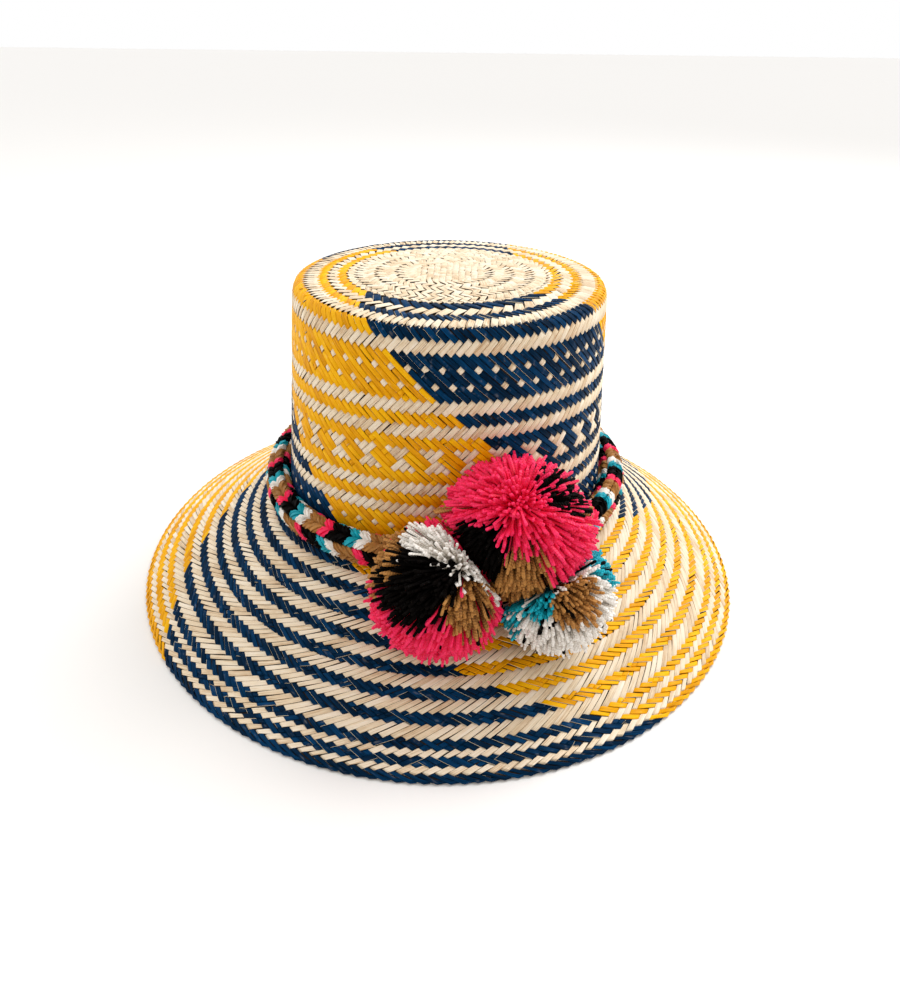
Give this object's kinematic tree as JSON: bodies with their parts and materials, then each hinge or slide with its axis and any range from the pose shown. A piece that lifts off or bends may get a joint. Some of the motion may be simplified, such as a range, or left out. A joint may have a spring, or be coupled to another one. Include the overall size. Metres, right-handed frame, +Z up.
{
  "type": "woven straw hat",
  "caption": "Wide-brimmed hat woven from dyed and natural straw, with a flat-topped crown, a braided yarn band and yarn pompoms at the front.",
  "frame": {"origin": "centre of the brim's circle, on the surface that the brim's edge stands on", "axes": "+Z up along the crown, -Y towards the front, where the pompoms are, +X to the right as seen from the front"},
  "size_m": [0.367, 0.367, 0.176],
  "materials": {
    "straw": "matt woven straw",
    "band_yarn": "matt yarn",
    "pink_yarn": "matt yarn",
    "black_yarn": "matt yarn",
    "white_yarn": "matt yarn"
  },
  "bodies": {
    "root": {"straw_body": "straw", "braided_band": "band_yarn", "pompom_top": "pink_yarn", "pompom_left": "black_yarn", "pompom_right": "white_yarn"}
  },
  "joints": []
}
